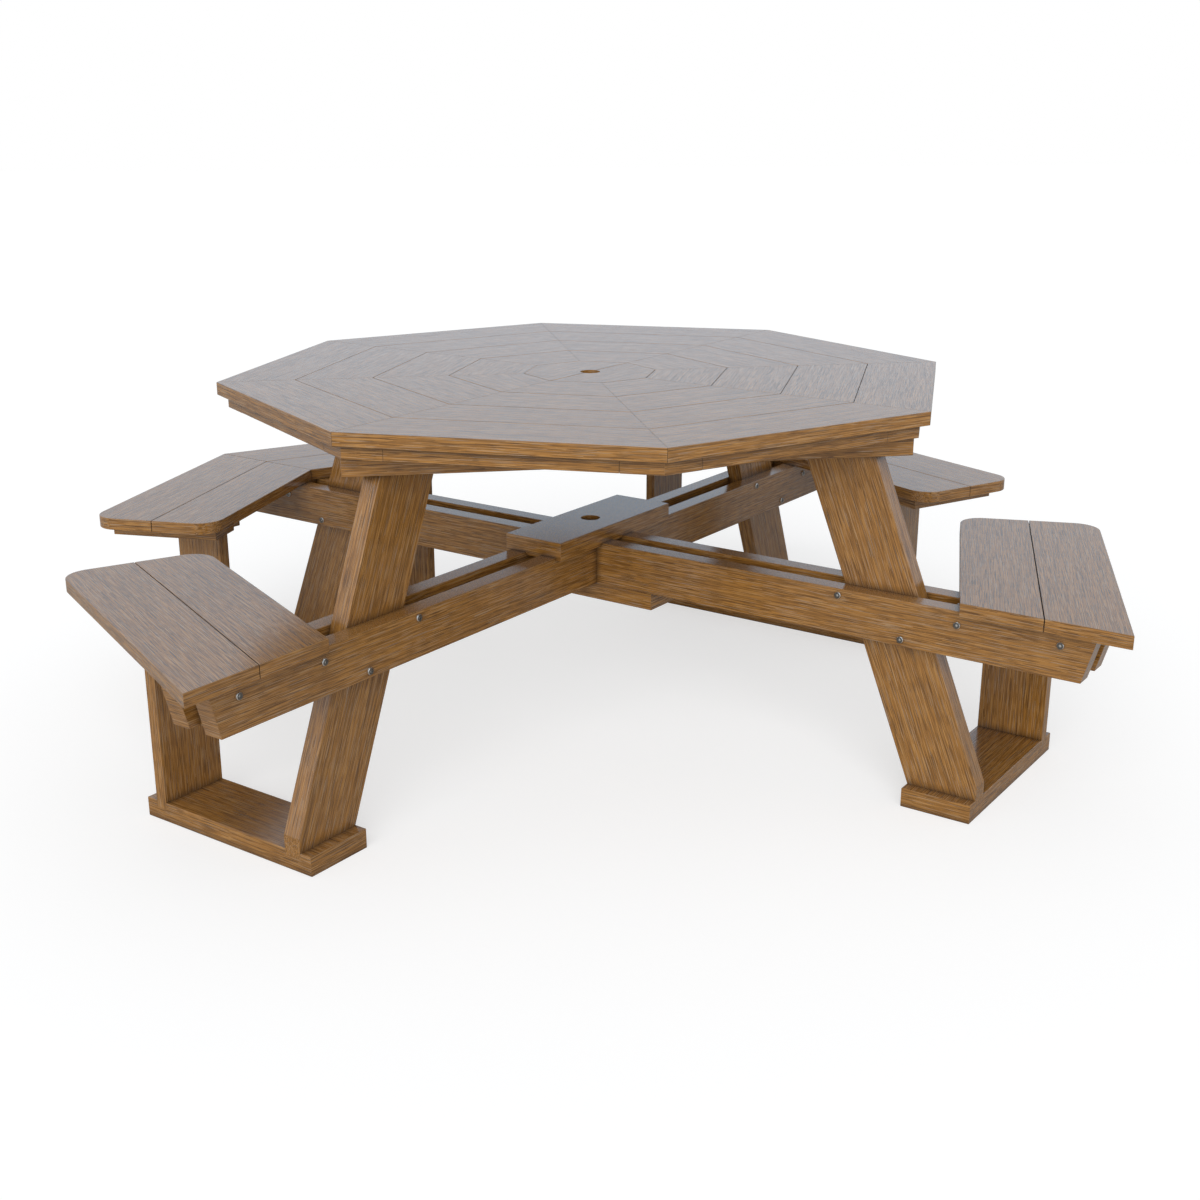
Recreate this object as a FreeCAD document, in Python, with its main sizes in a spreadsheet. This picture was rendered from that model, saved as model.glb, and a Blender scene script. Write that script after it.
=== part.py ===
import FreeCAD, Part
import os
import re
import Sketcher

# Octagon picnic table with an open bay for a wheelchair at the front.
# Millimetres; +Z up, -Y towards the open bay, origin on the ground under the umbrella hole.

# Shape of the octagon
SIDES = 8
RINGS = 4
FULL_TURN = 360
QUARTER_TURN = FULL_TURN / 4
CORNER = FULL_TURN / SIDES
HALF_CORNER = CORNER / 2
TAN = f"tan({HALF_CORNER})"
COS = f"cos({HALF_CORNER})"
SIN = f"sin({HALF_CORNER})"
DIAGONAL = f"cos({CORNER})"

# Arms of the base, each with its corner of the octagon counted from +X and the bench sides that it carries.
# A bench side is named, with +1 where it lies anticlockwise of its arm and -1 where clockwise.
ARMS = {
    "front_left": (-3, {"left_front": -1}),
    "back_left": (3, {"left_back": 1, "back_left": -1}),
    "back_right": (1, {"back_right": 1, "right_back": -1}),
    "front_right": (-1, {"right_front": 1}),
}

# The two lines of seat beams, each named with its corner and whether its laps open upwards.
BEAM_LINES = {"rising": (1, True), "falling": (-1, False)}

SIZES = {
    # Lumber sections
    "plank_thick": 38.1,
    "board_thick": 25.4,
    "wide_stock": 139.7,
    "narrow_stock": 88.9,
    "deck_board": 142.1,
    # Gaps and play
    "ring_gap": 0.8,
    "bench_gap": 1.6,
    "mitre_gap": 0.6,
    "joint_clear": 0.2,
    # Table top
    "table_height": 762.0,
    "centre_apothem": 127.0,
    "pole_hole": 41.3,
    "pole_margin": 14.0,
    "skirt_inset": 19.0,
    # Table bearers
    "bearer_lip": 15.0,
    "bearer_end_lip": 41.0,
    # Legs, feet and uprights
    "leg_lean": 22.0,
    "foot_setback": 224.8,
    "foot_lip": 25.4,
    "dado_depth": 12.7,
    "upright_offset": 336.5,
    # Seat beams and hub
    "beam_inset": 31.8,
    "beam_slant": 15.0,
    "hub_housing": 6.0,
    "hub_top_length": 402.0,
    "hub_low_length": 380.0,
    "hub_low_width": 101.6,
    "block_gap": 39.5,
    "block_end_gap": 22.1,
    # Benches
    "seat_height": 442.0,
    "bench_apothem": 915.2,
    "bench_corner": 50.8,
    "bench_overhang": 27.0,
    "cleat_length": 241.3,
    "cleat_gap": 26.3,
    "cleat_inset": 53.0,
    # Eased edges along the lumber
    "edge_ease": 0.8,
    # Beam bolts
    "head_dia": 13.0,
    "head_tall": 4.0,
    "head_ease": 1.5,
    "nut_flats": 13.0,
    "nut_tall": 6.5,
    "leg_bolt_edge": 13.0,
    "leg_bolt_upper": 1.0,
    "leg_bolt_lower": 105.5,
    "block_bolt_end": 18.5,
    "block_bolt_drop": 26.5,
}

# Sizes that follow from the driving ones
DERIVED = {
    "beam_top": "seat_height - board_thick",
    "beam_low": "beam_top - narrow_stock",
    "lap_height": "(beam_top + beam_low) / 2",
    "beam_mid": "plank_thick + joint_clear",
    "bench_outer": "bench_apothem + bench_gap / 2 + deck_board",
    "beam_reach": f"bench_outer / {COS} - beam_inset",
    "beam_face": "beam_mid + plank_thick / 2",
    "top_low": "table_height - board_thick",
    "batten_low": "top_low - board_thick",
    "bearer_low": "batten_low - plank_thick",
    "ring_pitch": "deck_board + ring_gap",
    "table_apothem": f"centre_apothem + {RINGS} * ring_pitch",
    "skirt_apothem": "table_apothem - skirt_inset",
    "foot_inner": f"bench_apothem / {COS} - foot_setback",
    "foot_outer": "foot_inner + wide_stock",
    "dado_floor": "plank_thick - dado_depth",
    "upright_face": "upright_offset + board_thick",
    "leg_cut": "wide_stock / cos(leg_lean)",
    "leg_top_inner": "foot_inner - (bearer_low - plank_thick) * tan(leg_lean)",
    "leg_clip": "plank_thick + (leg_cut - wide_stock) / tan(leg_lean)",
    "leg_reach": f"(leg_top_inner + leg_cut + plank_thick / 2) * {DIAGONAL}",
    "beam_reach_low": "beam_reach - narrow_stock * tan(beam_slant)",
    "hub_top_low": "beam_top - hub_housing",
    "hub_low_low": "beam_low - plank_thick",
    "leg_at_beam": "foot_inner - (beam_low - plank_thick) * tan(leg_lean) + leg_cut",
    "block_start": "leg_at_beam + block_gap",
    "block_end": "beam_reach_low - block_end_gap",
    "cleat_near": f"upright_face * {COS} - foot_inner * {SIN} + cleat_gap",
    "cleat_far": "cleat_near + narrow_stock",
    "bench_end": "cleat_far + cleat_inset",
    "leg_bolt_high": "beam_top - leg_bolt_edge",
    "leg_bolt_low": "beam_low + leg_bolt_edge",
    "leg_bolt_high_out": "foot_inner - (leg_bolt_high - plank_thick) * tan(leg_lean) - leg_bolt_upper",
    "leg_bolt_low_out": "foot_inner - (leg_bolt_low - plank_thick) * tan(leg_lean) + leg_bolt_lower",
    "block_bolt_height": "beam_top - block_bolt_drop",
    "block_bolt_near": "block_start + block_bolt_end",
    "block_bolt_far": "block_end - block_bolt_end",
}

# Widths across a pair of seat beams in which each beam lies with its play
BEAM_SLOTS = [
    ("beam_mid - plank_thick / 2 - joint_clear", "beam_face + joint_clear"),
    ("-(beam_face + joint_clear)", "-(beam_mid - plank_thick / 2 - joint_clear)"),
]

LEG_BOLTS = [("leg_bolt_high_out", "leg_bolt_high"), ("leg_bolt_low_out", "leg_bolt_low")]
BLOCK_BOLTS = [("block_bolt_near", "block_bolt_height"), ("block_bolt_far", "block_bolt_height")]

# Directions in which a board's grain and its eased edges can run
ALONG = FreeCAD.Vector(1, 0, 0)
ACROSS = FreeCAD.Vector(0, 1, 0)
UP = FreeCAD.Vector(0, 0, 1)

TOLERANCE = 1e-6

doc = FreeCAD.newDocument("octagon_picnic_table")
sheet = doc.addObject("Spreadsheet::Sheet", "Sizes")
cells = {alias: str(value) for alias, value in SIZES.items()}
cells.update({alias: f"={formula}" for alias, formula in DERIVED.items()})
for row, (alias, content) in enumerate(cells.items(), start=1):
    sheet.set(f"A{row}", alias)
    sheet.set(f"B{row}", content)
    sheet.setAlias(f"B{row}", alias)
doc.recompute()

nodes = []


def sized(expression):
    """The expression with each size's name pointed at the sheet."""
    return re.sub(r"[a-z_]+", lambda word: f"Sizes.{word[0]}" if word[0] in cells else word[0], expression)


def value_of(expression):
    return float(sheet.evalExpression(sized(expression)))


def new_body(name, turn=0):
    """An empty body turned about the umbrella axis, exported under its name."""
    body = doc.addObject("PartDesign::Body", name)
    body.Label = name
    body.AllowCompound = True
    body.Placement = FreeCAD.Placement(FreeCAD.Vector(), FreeCAD.Rotation(UP, turn))
    nodes.append(body)
    return body


def new_sketch(body, name, plane, level):
    """A sketch on one of the body's origin planes, moved along the plane's normal by level."""
    sketch = body.newObject("Sketcher::SketchObject", f"{body.Name}_{name}")
    support = next(f for f in body.Origin.OriginFeatures if f.Role == plane)
    sketch.AttachmentSupport = [(support, "")]
    sketch.MapMode = "FlatFace"
    sketch.setExpression("AttachmentOffset.Base.z", sized(level))
    return sketch


def pin_point(sketch, geometry, point, across, up):
    """Fix a point of the sketch at two expressions, or on an axis where one of them is zero."""
    for kind, axis, expression in (("DistanceX", -2, across), ("DistanceY", -1, up)):
        value = value_of(expression)
        if abs(value) < TOLERANCE:
            sketch.addConstraint(Sketcher.Constraint("PointOnObject", geometry, point, axis))
        else:
            index = sketch.addConstraint(Sketcher.Constraint(kind, -1, 1, geometry, point, value))
            sketch.setExpression(f"Constraints[{index}]", sized(expression))


def draw_outline(sketch, corners):
    """A closed outline through corners that are pairs of expressions."""
    points = [FreeCAD.Vector(value_of(across), value_of(up), 0) for across, up in corners]
    first = sketch.GeometryCount
    lines = [Part.LineSegment(a, b) for a, b in zip(points, points[1:] + points[:1])]
    sketch.addGeometry(lines, False)
    for step in range(len(lines)):
        following = first + (step + 1) % len(lines)
        sketch.addConstraint(Sketcher.Constraint("Coincident", first + step, 2, following, 1))
        pin_point(sketch, first + step, 1, *corners[step])


def draw_circle(sketch, across, up, diameter):
    centre = FreeCAD.Vector(value_of(across), value_of(up), 0)
    circle = Part.Circle(centre, UP, value_of(diameter) / 2)
    geometry = sketch.addGeometry(circle, False)
    pin_point(sketch, geometry, 3, across, up)
    size = sketch.addConstraint(Sketcher.Constraint("Diameter", geometry, value_of(diameter)))
    sketch.setExpression(f"Constraints[{size}]", sized(diameter))


def pad(body, sketch, length, middle=False):
    feature = body.newObject("PartDesign::Pad", f"{sketch.Name}_pad")
    feature.Profile = sketch
    feature.SideType = "Symmetric" if middle else "One side"
    feature.setExpression("Length", sized(length))
    sketch.Visibility = False
    doc.recompute()
    return feature


def pocket(body, sketch, depth=None):
    """A cut below the sketch to a depth, or through the whole body on both sides of it."""
    feature = body.newObject("PartDesign::Pocket", f"{sketch.Name}_cut")
    feature.Profile = sketch
    if depth is None:
        feature.Type = "ThroughAll"
        feature.SideType = "Symmetric"
    else:
        feature.setExpression("Length", sized(depth))
    sketch.Visibility = False
    doc.recompute()
    return feature


def dress(body, kind, wanted, size):
    """A chamfer or fillet on those edges of the body for which wanted is true."""
    base = body.Tip
    edges = [f"Edge{i}" for i, edge in enumerate(base.Shape.Edges, start=1) if wanted(edge)]
    feature = body.newObject(f"PartDesign::{kind}", f"{body.Name}_{kind.lower()}")
    feature.Base = (base, edges)
    feature.setExpression("Size" if kind == "Chamfer" else "Radius", sized(size))
    doc.recompute()
    return feature


def ease_edges(body, grain):
    """Chamfers on the edges that run along the grain."""

    def runs_along(edge):
        return edge.tangentAt(edge.FirstParameter).cross(grain).Length < TOLERANCE

    dress(body, "Chamfer", runs_along, "edge_ease")


def repeat_round(body, count, sweep=FULL_TURN):
    """Copies of the body as it stands, spread evenly about the umbrella axis."""
    pattern = body.newObject("PartDesign::PolarPattern", f"{body.Name}_pattern")
    pattern.TransformMode = "Whole shape"
    pattern.Axis = (next(f for f in body.Origin.OriginFeatures if f.Role == "Z_Axis"), [""])
    pattern.Angle = sweep
    pattern.Occurrences = count
    body.Tip = pattern
    doc.recompute()
    return pattern


def flat_board(name, turn, underside, thickness, corners, grain=ALONG):
    """A board with its outline drawn from above, left with sharp edges where no grain is given."""
    body = new_body(name, turn)
    sketch = new_sketch(body, "outline", "XY_Plane", underside)
    draw_outline(sketch, corners)
    pad(body, sketch, thickness)
    if grain:
        ease_edges(body, grain)
    return body


def upright_plank(name, turn, middle, corners, grain=ALONG):
    """A plank on edge with its outline drawn from the side, middle giving its centre plane."""
    body = new_body(name, turn)
    sketch = new_sketch(body, "outline", "XZ_Plane", middle)
    draw_outline(sketch, corners)
    pad(body, sketch, "plank_thick", middle=True)
    ease_edges(body, grain)
    return body


def bore_for_pole(body):
    """The umbrella pole's hole, down through the whole body."""
    sketch = new_sketch(body, "bore", "XY_Plane", "lap_height")
    draw_circle(sketch, "0", "0", "pole_hole")
    pocket(body, sketch)


def rectangle(left, right, low, high):
    return [(left, low), (right, low), (right, high), (left, high)]


# Legs: leaning planks let into the feet, cut flat under the bearers
leg_grain = FreeCAD.Rotation(ACROSS, -value_of("leg_lean")).multVec(UP)
for arm, (corner, _) in ARMS.items():
    upright_plank(
        f"leg_{arm}",
        corner * CORNER,
        "0",
        [
            ("foot_inner + dado_depth * tan(leg_lean)", "dado_floor"),
            ("foot_outer", "dado_floor"),
            ("foot_outer", "leg_clip"),
            ("leg_top_inner + leg_cut", "bearer_low"),
            ("leg_top_inner", "bearer_low"),
        ],
        leg_grain,
    )

# Feet: planks on the ground with a dado for the leg and for each upright
for arm, (corner, benches) in ARMS.items():
    bench_side = "upright_face + foot_lip"
    free_side = "plank_thick / 2 + foot_lip"
    low = f"-({bench_side if -1 in benches.values() else free_side})"
    high = bench_side if 1 in benches.values() else free_side
    corners = rectangle("foot_inner", "foot_outer", low, high)
    foot = flat_board(f"foot_{arm}", corner * CORNER, "0", "plank_thick", corners, ACROSS)
    dados = new_sketch(foot, "dados", "XY_Plane", "plank_thick")
    start = "foot_inner - foot_lip"
    end = "foot_outer + foot_lip"
    half_leg = "(plank_thick / 2 + joint_clear)"
    draw_outline(dados, rectangle(start, end, f"-{half_leg}", half_leg))
    for side in benches.values():
        near = f"{side} * (upright_offset - joint_clear)"
        far = f"{side} * (upright_face + joint_clear)"
        draw_outline(dados, rectangle(start, end, near, far))
    pocket(foot, dados, "dado_depth")

# Uprights and the ledgers on their inner faces
for arm, (corner, benches) in ARMS.items():
    turn = corner * CORNER
    for bench, side in benches.items():
        near = f"{side} * upright_offset"
        far = f"{side} * upright_face"
        inner = f"{side} * (upright_offset - plank_thick)"
        corners = rectangle("foot_inner", "foot_outer", near, far)
        flat_board(f"upright_{bench}", turn, "dado_floor", "beam_top - dado_floor", corners, UP)
        corners = rectangle("foot_inner", "foot_outer", inner, near)
        flat_board(f"ledger_{bench}", turn, "beam_top - plank_thick", "plank_thick", corners)

# Seat beams: two pairs that pass through each other with half laps at the middle
for line, (corner, laps_up) in BEAM_LINES.items():
    for place, middle in (("front", "beam_mid"), ("back", "-beam_mid")):
        beam = upright_plank(
            f"seat_beam_{line}_{place}",
            corner * CORNER,
            middle,
            [
                ("-beam_reach_low", "beam_low"),
                ("beam_reach_low", "beam_low"),
                ("beam_reach", "beam_top"),
                ("-beam_reach", "beam_top"),
            ],
        )
        laps = new_sketch(beam, "laps", "XZ_Plane", middle)
        open_edge = "beam_top + plank_thick" if laps_up else "beam_low - plank_thick"
        for near, far in BEAM_SLOTS:
            draw_outline(laps, rectangle(near, far, "lap_height", open_edge))
        pocket(beam, laps)
        bore_for_pole(beam)

# Seat blocks between the beams under the benches
for arm, (corner, _) in ARMS.items():
    corners = rectangle("block_start", "block_end", "beam_low", "beam_top")
    upright_plank(f"seat_block_{arm}", corner * CORNER, "0", corners)

# Hub blocks above and below the crossing, bored for the umbrella pole
hubs = {}
for place, line, underside, length, width in (
    ("top", "rising", "hub_top_low", "hub_top_length", "wide_stock"),
    ("low", "falling", "hub_low_low", "hub_low_length", "hub_low_width"),
):
    corners = rectangle(f"-{length} / 2", f"{length} / 2", f"-{width} / 2", f"{width} / 2")
    turn = BEAM_LINES[line][0] * CORNER
    hubs[place] = flat_board(f"hub_block_{place}", turn, underside, "plank_thick", corners)
    bore_for_pole(hubs[place])

# Grooves under the top hub block, which house all four seat beams
for name, turned in (("grooves_along", False), ("grooves_across", True)):
    grooves = new_sketch(hubs["top"], name, "XY_Plane", "beam_top")
    end = "hub_top_length"
    for near, far in BEAM_SLOTS:
        across = rectangle(near, far, f"-{end}", end)
        draw_outline(grooves, across if turned else [(up, out) for out, up in across])
    pocket(hubs["top"], grooves, "hub_housing")

# Table bearers across the leg tops
for place, corner in (("front", 4), ("back", 0)):
    half = "(leg_reach + bearer_end_lip)"
    edge = "leg_reach + bearer_lip"
    corners = rectangle(f"-{half}", half, f"{edge} - wide_stock", edge)
    flat_board(f"bearer_{place}", corner * CORNER, "bearer_low", "plank_thick", corners)

# Corner battens: radial boards, pointed at the table's corners and mitred together at the middle
batten = new_body("corner_battens")
outline = new_sketch(batten, "outline", "XY_Plane", "batten_low")
mitre = f"mitre_gap / 2 / {COS}"
tip = "(pole_hole / 2 + pole_margin)"
shoulder = f"(wide_stock / 2 + {mitre}) / {TAN}"
rim = f"(skirt_apothem - wide_stock / 2 * {SIN}) / {COS}"
draw_outline(
    outline,
    [
        (tip, f"-({tip} * {TAN} - {mitre})"),
        (shoulder, "-wide_stock / 2"),
        (rim, "-wide_stock / 2"),
        (f"skirt_apothem / {COS}", "0"),
        (rim, "wide_stock / 2"),
        (shoulder, "wide_stock / 2"),
        (tip, f"{tip} * {TAN} - {mitre}"),
    ],
)
pad(batten, outline, "board_thick")
ease_edges(batten, ALONG)
repeat_round(batten, SIDES)

# Skirt boards between the battens along the table's sides
skirt = new_body("skirt_boards", HALF_CORNER)
outline = new_sketch(skirt, "outline", "XY_Plane", "batten_low")
back = "(skirt_apothem - narrow_stock)"
beside = f"(wide_stock / 2 + mitre_gap) / {COS}"
draw_outline(
    outline,
    [
        (f"-({back} * {TAN} - {beside})", back),
        (f"{back} * {TAN} - {beside}", back),
        (f"skirt_apothem * {TAN} - {beside}", "skirt_apothem"),
        (f"-(skirt_apothem * {TAN} - {beside})", "skirt_apothem"),
    ],
)
pad(skirt, outline, "board_thick")
ease_edges(skirt, ALONG)
repeat_round(skirt, SIDES)

# Table top: rings of mitred boards round a centre octagon in two halves
for ring in range(RINGS):
    boards = new_body(f"top_ring_{ring + 1}", HALF_CORNER)
    outline = new_sketch(boards, "outline", "XY_Plane", "top_low")
    near = f"(centre_apothem + ring_gap + {ring} * ring_pitch)"
    far = f"({near} + deck_board)"
    draw_outline(
        outline,
        [
            (f"-({near} * {TAN} - {mitre})", near),
            (f"{near} * {TAN} - {mitre}", near),
            (f"{far} * {TAN} - {mitre}", far),
            (f"-({far} * {TAN} - {mitre})", far),
        ],
    )
    pad(boards, outline, "board_thick")
    ease_edges(boards, ALONG)
    repeat_round(boards, SIDES)

reach = f"centre_apothem / {COS}"
split = "ring_gap / 2"
for place, corner in (("front", -3), ("back", 1)):
    centre = flat_board(
        f"top_centre_{place}",
        corner * CORNER,
        "top_low",
        "board_thick",
        [
            (f"{reach} - {split} * {TAN}", split),
            (f"{reach} * {DIAGONAL}", f"{reach} * {DIAGONAL}"),
            ("0", reach),
            (f"-{reach} * {DIAGONAL}", f"{reach} * {DIAGONAL}"),
            (f"-({reach} - {split} * {TAN})", split),
        ],
    )
    bore_for_pole(centre)

# Benches: two boards on each side, mitred over the back arms and cut beside the front arms
for arm, (corner, benches) in ARMS.items():
    paired = len(benches) > 1
    past_arm = "bench_gap / 2" if paired else "-(beam_face + bench_overhang)"
    for bench, side in benches.items():
        turn = corner * CORNER + side * HALF_CORNER - QUARTER_TURN
        for row, near in (
            ("inner", "(bench_apothem - bench_gap / 2 - deck_board)"),
            ("outer", "(bench_apothem + bench_gap / 2)"),
        ):
            far = f"({near} + deck_board)"
            free = f"{-side} * bench_end"
            arm_near = f"{-side} * ({past_arm} / {COS} - {near} * {TAN})"
            arm_far = f"{-side} * ({past_arm} / {COS} - {far} * {TAN})"
            corners = [(arm_near, near), (free, near), (free, far), (arm_far, far)]
            board = flat_board(f"bench_{bench}_{row}", turn, "beam_top", "board_thick", corners, None)
            exposed = near if row == "inner" else far
            corner_x = value_of(free)
            corner_y = value_of(exposed)

            def at_corner(edge):
                return all(
                    abs(v.X - corner_x) < TOLERANCE and abs(v.Y - corner_y) < TOLERANCE
                    for v in edge.Vertexes
                )

            dress(board, "Fillet", at_corner, "bench_corner")
            ease_edges(board, ALONG)
        low = "bench_apothem - cleat_length / 2"
        high = "bench_apothem + cleat_length / 2"
        corners = rectangle(f"{-side} * cleat_near", f"{-side} * cleat_far", low, high)
        flat_board(f"cleat_{bench}", turn, "beam_top - board_thick", "board_thick", corners, ACROSS)

# Bolts across the beam pairs, seen as a round head on the front face and a nut on the back
bolts = new_body("beam_bolts", BEAM_LINES["falling"][0] * CORNER)
heads = new_sketch(bolts, "heads", "XZ_Plane", "beam_face")
nuts = new_sketch(bolts, "nuts", "XZ_Plane", "-beam_face - nut_tall")
half_flats = "nut_flats / 2"
point = f"{half_flats} / cos({FULL_TURN / 12})"
places = LEG_BOLTS + BLOCK_BOLTS
places += [(f"-{out}", height) for out, height in places]
for out, height in places:
    draw_circle(heads, out, height, "head_dia")
    draw_outline(
        nuts,
        [
            (f"{out} + {point}", height),
            (f"{out} + {point} / 2", f"{height} + {half_flats}"),
            (f"{out} - {point} / 2", f"{height} + {half_flats}"),
            (f"{out} - {point}", height),
            (f"{out} - {point} / 2", f"{height} - {half_flats}"),
            (f"{out} + {point} / 2", f"{height} - {half_flats}"),
        ],
    )
pad(bolts, heads, "head_tall")
head_top = value_of("-(beam_face + head_tall)")


def on_head_rim(edge):
    return all(abs(vertex.Y - head_top) < TOLERANCE for vertex in edge.Vertexes)


dress(bolts, "Chamfer", on_head_rim, "head_ease")
pad(bolts, nuts, "nut_tall")
repeat_round(bolts, len(BEAM_LINES), QUARTER_TURN)

doc.recompute()
for item in doc.Objects:
    if "Invalid" in item.State or "Error" in item.State:
        raise RuntimeError(f"{item.Name} did not build: {item.State}")
os.makedirs("parts", exist_ok=True)
for body in nodes:
    if body.Shape.isNull() or not body.Shape.isValid():
        raise RuntimeError(f"{body.Name} has no valid shape")
    body.Shape.exportStep(f"parts/{body.Label}.step")
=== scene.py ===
import math

import bpy
from mathutils import Matrix, Vector


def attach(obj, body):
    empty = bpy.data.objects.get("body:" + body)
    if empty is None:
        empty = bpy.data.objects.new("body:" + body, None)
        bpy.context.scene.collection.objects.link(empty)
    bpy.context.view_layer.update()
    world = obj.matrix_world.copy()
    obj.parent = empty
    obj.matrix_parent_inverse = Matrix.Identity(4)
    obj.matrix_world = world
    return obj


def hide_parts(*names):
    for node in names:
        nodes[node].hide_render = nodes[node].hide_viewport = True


# Looks of the octagon picnic table: wood-grain boards on crossed seat beams, and steel bolts
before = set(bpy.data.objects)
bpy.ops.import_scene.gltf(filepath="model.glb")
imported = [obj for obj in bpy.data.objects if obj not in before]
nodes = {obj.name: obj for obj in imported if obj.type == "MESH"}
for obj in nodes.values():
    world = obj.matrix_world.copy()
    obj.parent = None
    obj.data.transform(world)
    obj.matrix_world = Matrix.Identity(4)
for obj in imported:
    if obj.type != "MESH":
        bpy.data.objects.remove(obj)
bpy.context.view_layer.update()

# Headings of the boards in degrees from the +X axis, seen from above.
# Each bench names the arm that carries it.
CORNER = 45.0
HALF_CORNER = CORNER / 2
QUARTER_TURN = 90.0
HALF_TURN = 180.0
FULL_TURN = 360.0
ARMS = {"front_left": -135.0, "back_left": 135.0, "back_right": 45.0, "front_right": -45.0}
BENCHES = {
    "left_front": (112.5, "front_left"),
    "left_back": (67.5, "back_left"),
    "back_left": (22.5, "back_left"),
    "back_right": (-22.5, "back_right"),
    "right_back": (-67.5, "back_right"),
    "right_front": (-112.5, "front_right"),
}
BEAMS = {"rising": 45.0, "falling": -45.0}
LEG_LEAN = 22.0
RINGS = 4

# A face counts as a sawn end, or as a top, from this share of its normal
FACING = 0.7

# Patterns in the lumber: length and width of one streak in metres, then where the pattern starts
FIBRE = ((0.036, 0.0008), (0.0, 0.0, 0.0))
GROOVE = ((0.160, 0.0012), (0.31, 0.17, 0.05))
DRIFT = ((0.25, 0.040), (0.07, 0.02, 0.61))
GROOVE_DETAIL = 0.0
DRIFT_DETAIL = 1.0
NOISE_ROUGHNESS = 0.6

# Colours of the lumber: the fibres from dark to light, then what is painted over them
FIBRE_TONES = [
    (0.00, (0.085, 0.038, 0.011)),
    (0.22, (0.190, 0.085, 0.019)),
    (0.40, (0.285, 0.127, 0.026)),
    (0.70, (0.360, 0.170, 0.038)),
    (0.85, (0.410, 0.212, 0.064)),
    (0.92, (0.355, 0.220, 0.108)),
    (1.00, (0.310, 0.210, 0.132)),
]
DRIFT_BROWN = (0.200, 0.090, 0.018)
GROOVE_BROWN = (0.085, 0.038, 0.011)
# Lighter tan on the edges: partly wear, partly a painted highlight along the edge
WORN_AND_HIGHLIGHT_TAN = (0.380, 0.240, 0.130)
# Painted shade: a dark brown laid into inner corners and under overhangs, where shade falls
CORNER_SHADE_BROWN = (0.050, 0.024, 0.009)

# The part of a pattern that is read, from and to, and the share of paint it gives, from and to
DRIFT_SHARE = (0.35, 0.65, 0.0, 0.12)
GROOVE_SHARE = (0.52, 0.64, 0.0, 0.40)
# Share of the lighter edge, partly wear and partly painted highlight
WEAR_AND_HIGHLIGHT_SHARE = (0.995, 0.90, 0.0, 0.25)
# Share of painted corner shade, read from ambient occlusion
CORNER_SHADE_SHARE = (0.95, 0.50, 0.0, 0.70)

# Surface of the lumber: gloss from fibre to fibre, embossing, and reach of the lighter edges (wear
# and painted highlight) and of the painted corner shade in metres
LUMBER_IOR = 1.62
LUMBER_ROUGHNESS = (0.0, 1.0, 0.24, 0.14)
LUMBER_EMBOSS = {"Strength": 0.20, "Distance": 0.0003}
EDGE_REACH = 0.0015
CORNER_SHADE_REACH = 0.016
PROBES = 4

# Plated steel of the bolts: duller and brighter shade of each kind, and the clouds between them.
# The dark kind is a painted dark reflection on the domes; the bright kind is a painted highlight
# on rims and socket floors, and the whole colour of the nuts
STEEL_PAINTED_DARK_REFLECTION = ((0.14, 0.13, 0.11), (0.26, 0.24, 0.22))
STEEL_BRIGHT_AND_HIGHLIGHT = ((0.86, 0.80, 0.72), (0.97, 0.93, 0.86))
STEEL_CLOUDS = {"Scale": 700.0, "Detail": 3.0, "Roughness": NOISE_ROUGHNESS}
CLOUD_LOW = 0.3
CLOUD_HIGH = 0.7
STEEL_ROUGHNESS = (CLOUD_LOW, CLOUD_HIGH, 0.38, 0.22)
STEEL_EMBOSS = {"Strength": 0.2, "Distance": 0.0001}

# Bolt sizes in metres; a step is how far it goes in, then up or down
HEAD_RADIUS = 0.0065
HEAD_RIM = 0.0030
HEAD_TALL = 0.0040
HEAD_SIDES = 32
HEAD_EASE_CUTS = 3
DOME_LOW_STEP = (0.0014, 0.0007)
DOME_HIGH_STEP = (0.0012, HEAD_TALL - HEAD_RIM - DOME_LOW_STEP[1])
SOCKET_RADIUS = 0.0029
SOCKET_DEEP = 0.0019
HEX_SIDES = 6
NUT_POINT = 0.0065 / math.cos(math.radians(30))
NUT_TALL = 0.0065
NUT_EASE_CUTS = 2
NUT_SINK_STEP = (0.0018, -0.0015)
BOLT_END_STEP = (0.0006, 0.0012)
EASE = 0.0008
SMOOTH_UNDER = 32.0

# Picking bolt faces: share of the normal on a flat top and off the rim, and share of the height
FLAT_TOP = 0.9
RIM_SLOPE = 0.8
NEAR_TOP = 0.9

# Packed bolts: corners closer than this are one, and a round head has more corners than a nut
WELD = 0.00005
MOST_NUT_CORNERS = 20

# Studio: floor in metres, its grey and its lift for the camera, then the light around and the key
FLOOR_SIZE = 60.0
FLOOR_DROP = 0.0003
FLOOR_GREY = 0.50
FLOOR_LIFT = 0.58
FILL_LIGHT = {"Color": (0.96, 0.98, 1.0, 1.0), "Strength": 0.60}
COOL_SHINE = {"Color": (0.72, 0.855, 1.0, 1.0), "Strength": 1.0}
WHITE_BACKDROP = {"Color": (1.0, 1.0, 1.0, 1.0), "Strength": 1.0}
KEY_PLACE = (-1.0, -3.5, 3.0)
KEY_ENERGY = 2.75
KEY_SPREAD = 60.0
KEY_HEADING = -108.0
KEY_RISE = 20.0

# Photographed view: lens and sensor in millimetres, eye point in metres, turn of the camera's axes
SENSOR = 36.0
LENS = 46.116
EYE = (-0.5260, -3.1376, 1.2909)
VIEW_TURN = (1.87785823, -0.16194969, 0.11862946)

# Colour sockets of the mix node, which shares its socket names with other kinds of mix
MIX_SHARE = 0
MIX_UNDER = 6
MIX_OVER = 7
MIX_RESULT = 2


def deselect_everything():
    bpy.ops.object.select_all(action="DESELECT")
    bpy.context.view_layer.objects.active = None


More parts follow.
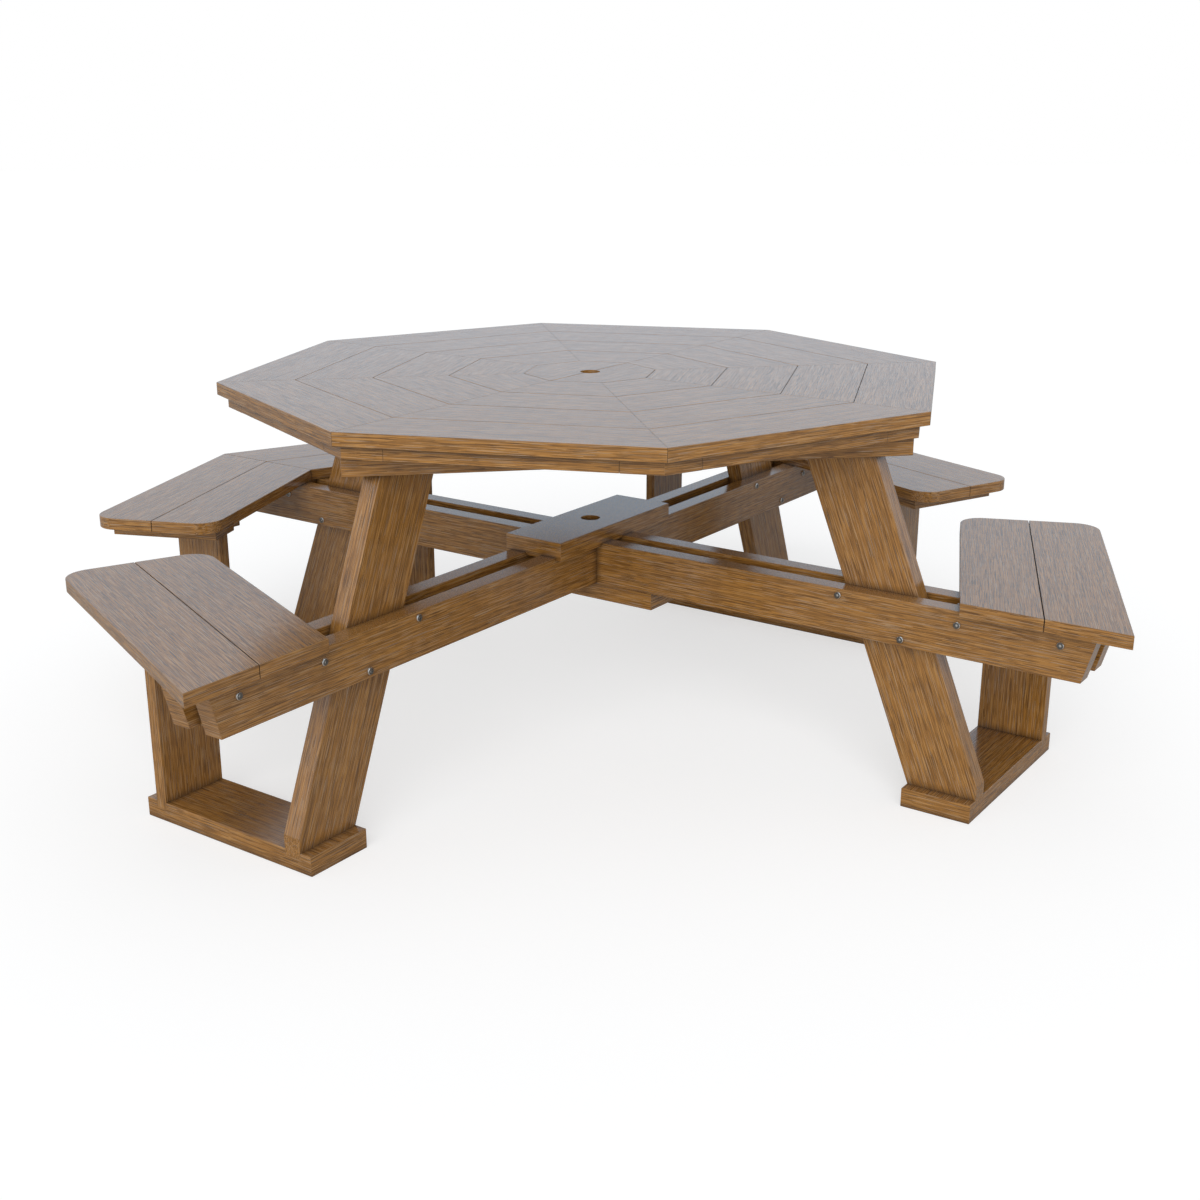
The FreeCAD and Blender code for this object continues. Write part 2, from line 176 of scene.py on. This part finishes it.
def make_active(piece):
    deselect_everything()
    piece.select_set(True)
    bpy.context.view_layer.objects.active = piece


def line_along(heading, rise=0.0):
    turn = math.radians(heading)
    climb = math.radians(rise)
    level = math.cos(climb)
    return Vector((level * math.cos(turn), level * math.sin(turn), math.sin(climb)))


def add_node(tree, kind, values=None, **settings):
    made = tree.nodes.new(kind)
    for name, value in settings.items():
        setattr(made, name, value)
    for socket, value in (values or {}).items():
        made.inputs[socket].default_value = value
    return made


def blank_material(name, shader):
    material = bpy.data.materials.new(name)
    material.use_nodes = True
    tree = material.node_tree
    tree.nodes.clear()
    surface = add_node(tree, shader)
    output = add_node(tree, "ShaderNodeOutputMaterial")
    tree.links.new(surface.outputs[0], output.inputs["Surface"])
    return material, tree, surface


def draw_along(tree, texture, turn, pattern):
    """Draws a texture out along the board, with the pattern's size and start."""
    (length, width), start = pattern
    place = add_node(tree, "ShaderNodeTexCoord")
    lay = add_node(
        tree,
        "ShaderNodeMapping",
        {"Location": start, "Rotation": turn, "Scale": (length, width, width)},
        vector_type="TEXTURE",
    )
    tree.links.new(place.outputs["Object"], lay.inputs["Vector"])
    tree.links.new(lay.outputs["Vector"], texture.inputs["Vector"])


def streaks(tree, turn, pattern, detail):
    """Soft streaks that fade into each other."""
    noise = add_node(
        tree,
        "ShaderNodeTexNoise",
        {"Scale": 1.0, "Detail": detail, "Roughness": NOISE_ROUGHNESS},
    )
    draw_along(tree, noise, turn, pattern)
    return noise.outputs["Fac"]


def fibres(tree, turn, pattern):
    """Separate fibres, each of one tone between 0 and 1."""
    cells = add_node(tree, "ShaderNodeTexVoronoi", {"Scale": 1.0})
    tones = add_node(tree, "ShaderNodeSeparateColor")
    draw_along(tree, cells, turn, pattern)
    tree.links.new(cells.outputs["Color"], tones.inputs["Color"])
    return tones.outputs["Red"]


def ramp(tree, source, stops):
    made = add_node(tree, "ShaderNodeValToRGB")
    points = made.color_ramp.elements
    while len(points) < len(stops):
        points.new(0.5)
    for point, (at, colour) in zip(points, stops):
        point.position = at
        point.color = (*colour, 1.0)
    tree.links.new(source, made.inputs["Fac"])
    return made.outputs["Color"]


def span(tree, source, low, high, out_low, out_high):
    made = add_node(
        tree,
        "ShaderNodeMapRange",
        {"From Min": low, "From Max": high, "To Min": out_low, "To Max": out_high},
    )
    tree.links.new(source, made.inputs["Value"])
    return made.outputs["Result"]


def paint_over(tree, share, under, colour):
    made = add_node(tree, "ShaderNodeMix", data_type="RGBA")
    made.inputs[MIX_OVER].default_value = (*colour, 1.0)
    tree.links.new(share, made.inputs[MIX_SHARE])
    tree.links.new(under, made.inputs[MIX_UNDER])
    return made.outputs[MIX_RESULT]


def soft_edges(tree):
    """The normal rounded over near an edge, and how much the edge is lightened there, partly as
    wear and partly as a painted highlight.
    """
    rounded = add_node(tree, "ShaderNodeBevel", {"Radius": EDGE_REACH}, samples=PROBES)
    flat = add_node(tree, "ShaderNodeNewGeometry")
    match = add_node(tree, "ShaderNodeVectorMath", operation="DOT_PRODUCT")
    tree.links.new(rounded.outputs["Normal"], match.inputs[0])
    tree.links.new(flat.outputs["True Normal"], match.inputs[1])
    return rounded.outputs["Normal"], span(tree, match.outputs["Value"], *WEAR_AND_HIGHLIGHT_SHARE)


def painted_corner_shade(tree):
    """How much painted shade darkens the colour near an inner corner, where shade falls."""
    corner = add_node(
        tree, "ShaderNodeAmbientOcclusion", {"Distance": CORNER_SHADE_REACH}, samples=PROBES
    )
    return span(tree, corner.outputs["AO"], *CORNER_SHADE_SHARE)


def poly_lumber(name, heading, rise):
    """Brown wood-grain lumber whose grain runs at heading, climbing at rise, both in degrees."""
    material, tree, surface = blank_material(name, "ShaderNodeBsdfPrincipled")
    turn = (0.0, -math.radians(rise), math.radians(heading))
    fibre = fibres(tree, turn, FIBRE)
    groove = streaks(tree, turn, GROOVE, GROOVE_DETAIL)
    drift = streaks(tree, turn, DRIFT, DRIFT_DETAIL)
    rounded, edge_wear_and_highlight = soft_edges(tree)
    colour = ramp(tree, fibre, FIBRE_TONES)
    colour = paint_over(tree, span(tree, drift, *DRIFT_SHARE), colour, DRIFT_BROWN)
    colour = paint_over(tree, span(tree, groove, *GROOVE_SHARE), colour, GROOVE_BROWN)
    # Lighter edges: partly wear, partly a painted highlight
    colour = paint_over(tree, edge_wear_and_highlight, colour, WORN_AND_HIGHLIGHT_TAN)
    # Painted shade: darker brown near inner corners, read from ambient occlusion
    colour = paint_over(tree, painted_corner_shade(tree), colour, CORNER_SHADE_BROWN)
    surface.inputs["IOR"].default_value = LUMBER_IOR
    tree.links.new(colour, surface.inputs["Base Color"])
    tree.links.new(span(tree, fibre, *LUMBER_ROUGHNESS), surface.inputs["Roughness"])
    emboss = add_node(tree, "ShaderNodeBump", LUMBER_EMBOSS, invert=True)
    tree.links.new(groove, emboss.inputs["Height"])
    tree.links.new(rounded, emboss.inputs["Normal"])
    tree.links.new(emboss.outputs["Normal"], surface.inputs["Normal"])
    return material


def bolt_steel(name, dull, bright):
    """Plated steel, clouded between two shades of a warm grey."""
    material, tree, surface = blank_material(name, "ShaderNodeBsdfPrincipled")
    place = add_node(tree, "ShaderNodeTexCoord")
    noise = add_node(tree, "ShaderNodeTexNoise", STEEL_CLOUDS)
    tree.links.new(place.outputs["Object"], noise.inputs["Vector"])
    cloud = noise.outputs["Fac"]
    colour = ramp(tree, cloud, [(CLOUD_LOW, dull), (CLOUD_HIGH, bright)])
    tree.links.new(colour, surface.inputs["Base Color"])
    tree.links.new(span(tree, cloud, *STEEL_ROUGHNESS), surface.inputs["Roughness"])
    surface.inputs["Metallic"].default_value = 1.0
    emboss = add_node(tree, "ShaderNodeBump", STEEL_EMBOSS)
    tree.links.new(cloud, emboss.inputs["Height"])
    tree.links.new(emboss.outputs["Normal"], surface.inputs["Normal"])
    return material


lumber = {}


def lumber_along(heading, rise=0.0):
    """One material for each direction of the grain; a level board may be turned end for end."""
    heading = heading % HALF_TURN if rise == 0.0 else heading % FULL_TURN
    key = (heading, rise)
    if key not in lumber:
        name = f"poly_lumber_{heading:05.1f}_{rise:04.1f}".replace(".", "_")
        lumber[key] = poly_lumber(name, heading, rise)
    return lumber[key]


def finish_faces(name, heading_at, rise, flecked):
    """Grain along each board, level across its sawn ends, and end-on flecks on top where asked."""
    mesh = nodes[name].data
    mesh.materials.clear()
    used = []
    for face in mesh.polygons:
        heading = heading_at(face)
        along = abs(face.normal.dot(line_along(heading, rise)))
        material = lumber_along(heading, rise)
        if flecked and face.normal.z > FACING:
            material = lumber_along(0.0, QUARTER_TURN)
        elif along > FACING and abs(face.normal.z) < FACING:
            facing = math.degrees(math.atan2(face.normal.y, face.normal.x))
            material = lumber_along(round(facing / HALF_CORNER) * HALF_CORNER + QUARTER_TURN)
        if material not in used:
            used.append(material)
            mesh.materials.append(material)
        face.material_index = used.index(material)


def finish_board(name, heading, rise=0.0, flecked=False):
    finish_faces(name, lambda face: heading, rise, flecked)


def finish_round(name, first, grain):
    """Boards set round the middle: the angle of one board, and its grain's heading past that."""

    def heading_at(face):
        angle = math.degrees(math.atan2(face.center.y, face.center.x))
        return first + round((angle - first) / CORNER) * CORNER + grain

    finish_faces(name, heading_at, 0.0, False)


def finish_boards():
    for ring in range(1, RINGS + 1):
        finish_round(f"top_ring_{ring}", HALF_CORNER, QUARTER_TURN)
    finish_round("skirt_boards", HALF_CORNER, QUARTER_TURN)
    finish_round("corner_battens", 0.0, 0.0)
    for half in ("front", "back"):
        finish_board(f"top_centre_{half}", CORNER)
        finish_board(f"bearer_{half}", 0.0)
        for line, heading in BEAMS.items():
            finish_board(f"seat_beam_{line}_{half}", heading, flecked=True)
    finish_board("hub_block_top", BEAMS["rising"], flecked=True)
    finish_board("hub_block_low", BEAMS["falling"])
    for arm, heading in ARMS.items():
        finish_board(f"leg_{arm}", heading + HALF_TURN, QUARTER_TURN - LEG_LEAN)
        finish_board(f"foot_{arm}", heading + QUARTER_TURN)
        finish_board(f"seat_block_{arm}", heading)
    for bench, (heading, arm) in BENCHES.items():
        finish_board(f"bench_{bench}_inner", heading)
        finish_board(f"bench_{bench}_outer", heading)
        finish_board(f"cleat_{bench}", heading + QUARTER_TURN)
        finish_board(f"upright_{bench}", 0.0, QUARTER_TURN)
        finish_board(f"ledger_{bench}", ARMS[arm])


def edit_top(piece, height):
    """Opens the piece in edit mode with only its top faces above the height picked."""
    make_active(piece)
    bpy.ops.object.mode_set(mode="EDIT")
    bpy.ops.mesh.select_mode(type="FACE")
    bpy.ops.mesh.select_all(action="DESELECT")
    bpy.ops.object.mode_set(mode="OBJECT")
    for face in piece.data.polygons:
        face.select = face.normal.z > FLAT_TOP and face.center.z > height
    bpy.ops.object.mode_set(mode="EDIT")


def ease_top(piece, height, cuts):
    """Rounds over the edge of the piece's top, and opens what is left of the top."""
    edit_top(piece, height)
    bpy.ops.mesh.bevel(offset=EASE, segments=cuts, affect="EDGES")
    bpy.ops.object.mode_set(mode="OBJECT")
    edit_top(piece, height)


def slope_inside(inward, rise):
    """Insets the picked face and moves what is inside up, so that the ring around it slopes."""
    bpy.ops.mesh.inset(thickness=inward)
    bpy.ops.transform.translate(value=(0, 0, rise))


def step_inside(inward, rise):
    """Insets the picked face and pulls what is inside up or down with upright walls."""
    bpy.ops.mesh.inset(thickness=inward)
    bpy.ops.mesh.extrude_region_move(TRANSFORM_OT_translate={"value": (0, 0, rise)})


def add_prism(sides, radius, low, high):
    deselect_everything()
    bpy.ops.mesh.primitive_cylinder_add(
        vertices=sides, radius=radius, depth=high - low, location=(0, 0, (high + low) / 2)
    )
    bpy.ops.object.transform_apply(location=True, rotation=True, scale=True)
    return bpy.context.object


def model_head(dark, bright):
    """Domed head on the XY plane with a six-sided socket: bright steel on its rim and socket floor
    as a painted highlight, dark steel elsewhere as a painted dark reflection.
    """
    head = add_prism(HEAD_SIDES, HEAD_RADIUS, 0.0, HEAD_RIM)
    ease_top(head, HEAD_RIM * NEAR_TOP, HEAD_EASE_CUTS)
    slope_inside(*DOME_LOW_STEP)
    slope_inside(*DOME_HIGH_STEP)
    bpy.ops.object.mode_set(mode="OBJECT")
    cutter = add_prism(
        HEX_SIDES, SOCKET_RADIUS, HEAD_TALL - SOCKET_DEEP, HEAD_TALL + SOCKET_DEEP
    )
    make_active(head)
    cut = head.modifiers.new("socket", "BOOLEAN")
    cut.operation = "DIFFERENCE"
    cut.object = cutter
    bpy.ops.object.modifier_apply(modifier=cut.name)
    bpy.data.objects.remove(cutter)
    bpy.ops.object.shade_smooth_by_angle(angle=math.radians(SMOOTH_UNDER))
    head.data.materials.clear()
    head.data.materials.append(dark)
    head.data.materials.append(bright)
    # Painted highlight on the rim and socket floor, painted dark reflection on the dome
    for face in head.data.polygons:
        rim = face.normal.z < RIM_SLOPE and face.center.xy.length > SOCKET_RADIUS
        floor = face.normal.z > FLAT_TOP and face.center.z < HEAD_TALL - SOCKET_DEEP / 2
        face.material_index = int(rim or floor)
    return head


def model_nut(bright):
    """Hexagon nut on the XY plane with eased corners and the bolt's end standing in it."""
    nut = add_prism(HEX_SIDES, NUT_POINT, 0.0, NUT_TALL)
    ease_top(nut, NUT_TALL * NEAR_TOP, NUT_EASE_CUTS)
    step_inside(*NUT_SINK_STEP)
    step_inside(*BOLT_END_STEP)
    bpy.ops.object.mode_set(mode="OBJECT")
    bpy.ops.object.shade_smooth_by_angle(angle=math.radians(SMOOTH_UNDER))
    nut.data.materials.clear()
    nut.data.materials.append(bright)
    return nut


def bolt_places():
    """Middle of every packed head and nut, each with True where it is a round head."""
    copy = nodes["beam_bolts"].copy()
    copy.data = copy.data.copy()
    copy.parent = None
    bpy.context.scene.collection.objects.link(copy)
    make_active(copy)
    bpy.ops.object.mode_set(mode="EDIT")
    bpy.ops.mesh.select_all(action="SELECT")
    bpy.ops.mesh.remove_doubles(threshold=WELD)
    bpy.ops.mesh.separate(type="LOOSE")
    bpy.ops.object.mode_set(mode="OBJECT")
    found = []
    for solid in list(bpy.context.selected_objects):
        corners = [vertex.co for vertex in solid.data.vertices]
        low = Vector(map(min, *corners))
        high = Vector(map(max, *corners))
        found.append(((low + high) / 2, len(corners) > MOST_NUT_CORNERS))
        bpy.data.objects.remove(solid)
    return found


def set_on_beam(model, middle, tall):
    """A copy of the model standing on the beam face nearest to middle, its axis pointing away."""
    flat = Vector((middle.x, middle.y, 0.0))
    lines = [line_along(heading) for heading in BEAMS.values()]
    aways = [flat - line * flat.dot(line) for line in lines]
    away = min(aways, key=lambda step: step.length).normalized()
    copy = model.copy()
    copy.data = model.data.copy()
    bpy.context.scene.collection.objects.link(copy)
    turn = away.to_track_quat("Z", "Y").to_matrix().to_4x4()
    copy.data.transform(Matrix.Translation(middle - away * tall / 2) @ turn)
    return copy


def join_as(name, copies):
    deselect_everything()
    for copy in copies:
        copy.select_set(True)
    bpy.context.view_layer.objects.active = copies[0]
    bpy.ops.object.join()
    piece = bpy.context.object
    piece.name = name
    piece.data.name = name
    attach(piece, "root")
    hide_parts("beam_bolts")


def fit_bolts():
    # Dark steel as a painted dark reflection on the domes, bright steel as a painted highlight on
    # rims and socket floors and as the nuts' colour
    dark = bolt_steel("bolt_steel_painted_dark_reflection", *STEEL_PAINTED_DARK_REFLECTION)
    bright = bolt_steel("bolt_steel_bright_and_highlight", *STEEL_BRIGHT_AND_HIGHLIGHT)
    head = model_head(dark, bright)
    nut = model_nut(bright)
    heads = []
    nuts = []
    for middle, is_head in bolt_places():
        if is_head:
            heads.append(set_on_beam(head, middle, HEAD_TALL))
        else:
            nuts.append(set_on_beam(nut, middle, NUT_TALL))
    bpy.data.objects.remove(head)
    bpy.data.objects.remove(nut)
    join_as("bolt_heads", heads)
    join_as("bolt_nuts", nuts)


def lay_floor():
    """A pale floor a hair below the feet: it keeps the shadow, and the camera sees it whiter."""
    deselect_everything()
    bpy.ops.mesh.primitive_plane_add(size=FLOOR_SIZE, location=(0, 0, -FLOOR_DROP))
    floor = bpy.context.object
    floor.name = "studio_floor"
    material, tree, both = blank_material("studio_floor", "ShaderNodeAddShader")
    grey = (FLOOR_GREY, FLOOR_GREY, FLOOR_GREY, 1.0)
    glow = (FLOOR_LIFT, FLOOR_LIFT, FLOOR_LIFT, 1.0)
    paint = add_node(tree, "ShaderNodeBsdfDiffuse", {"Color": grey})
    lift = add_node(tree, "ShaderNodeEmission", {"Color": glow})
    path = add_node(tree, "ShaderNodeLightPath")
    tree.links.new(path.outputs["Is Camera Ray"], lift.inputs["Strength"])
    tree.links.new(paint.outputs["BSDF"], both.inputs[0])
    tree.links.new(lift.outputs["Emission"], both.inputs[1])
    floor.data.materials.append(material)


def light_studio():
    """Soft light from all round, cool in reflections and white to the camera, and a wide key."""
    world = bpy.data.worlds.new("studio")
    bpy.context.scene.world = world
    world.use_nodes = True
    tree = world.node_tree
    tree.nodes.clear()
    fill = add_node(tree, "ShaderNodeBackground", FILL_LIGHT)
    cool = add_node(tree, "ShaderNodeBackground", COOL_SHINE)
    white = add_node(tree, "ShaderNodeBackground", WHITE_BACKDROP)
    path = add_node(tree, "ShaderNodeLightPath")
    shine = add_node(tree, "ShaderNodeMixShader")
    seen = add_node(tree, "ShaderNodeMixShader")
    output = add_node(tree, "ShaderNodeOutputWorld")
    tree.links.new(path.outputs["Is Glossy Ray"], shine.inputs["Fac"])
    tree.links.new(fill.outputs["Background"], shine.inputs[1])
    tree.links.new(cool.outputs["Background"], shine.inputs[2])
    tree.links.new(path.outputs["Is Camera Ray"], seen.inputs["Fac"])
    tree.links.new(shine.outputs["Shader"], seen.inputs[1])
    tree.links.new(white.outputs["Background"], seen.inputs[2])
    tree.links.new(seen.outputs["Shader"], output.inputs["Surface"])
    bpy.ops.object.light_add(type="SUN", location=KEY_PLACE)
    key = bpy.context.object
    key.name = "soft_key"
    key.data.energy = KEY_ENERGY
    key.data.angle = math.radians(KEY_SPREAD)
    key.visible_glossy = False
    towards_key = line_along(KEY_HEADING, KEY_RISE)
    key.rotation_euler = towards_key.to_track_quat("Z", "Y").to_euler()


def place_camera():
    bpy.ops.object.camera_add(location=EYE)
    camera = bpy.context.object
    camera.name = "photo_camera"
    camera.data.sensor_fit = "HORIZONTAL"
    camera.data.sensor_width = SENSOR
    camera.data.lens = LENS
    turn = Vector(VIEW_TURN)
    seen = Matrix.Rotation(turn.length, 3, turn.normalized())
    axes = Matrix((seen[0], -seen[1], -seen[2])).transposed()
    camera.rotation_euler = axes.to_euler()
    bpy.context.scene.camera = camera


finish_boards()
fit_bolts()
lay_floor()
light_studio()
place_camera()
bpy.context.scene.view_settings.view_transform = "Standard"
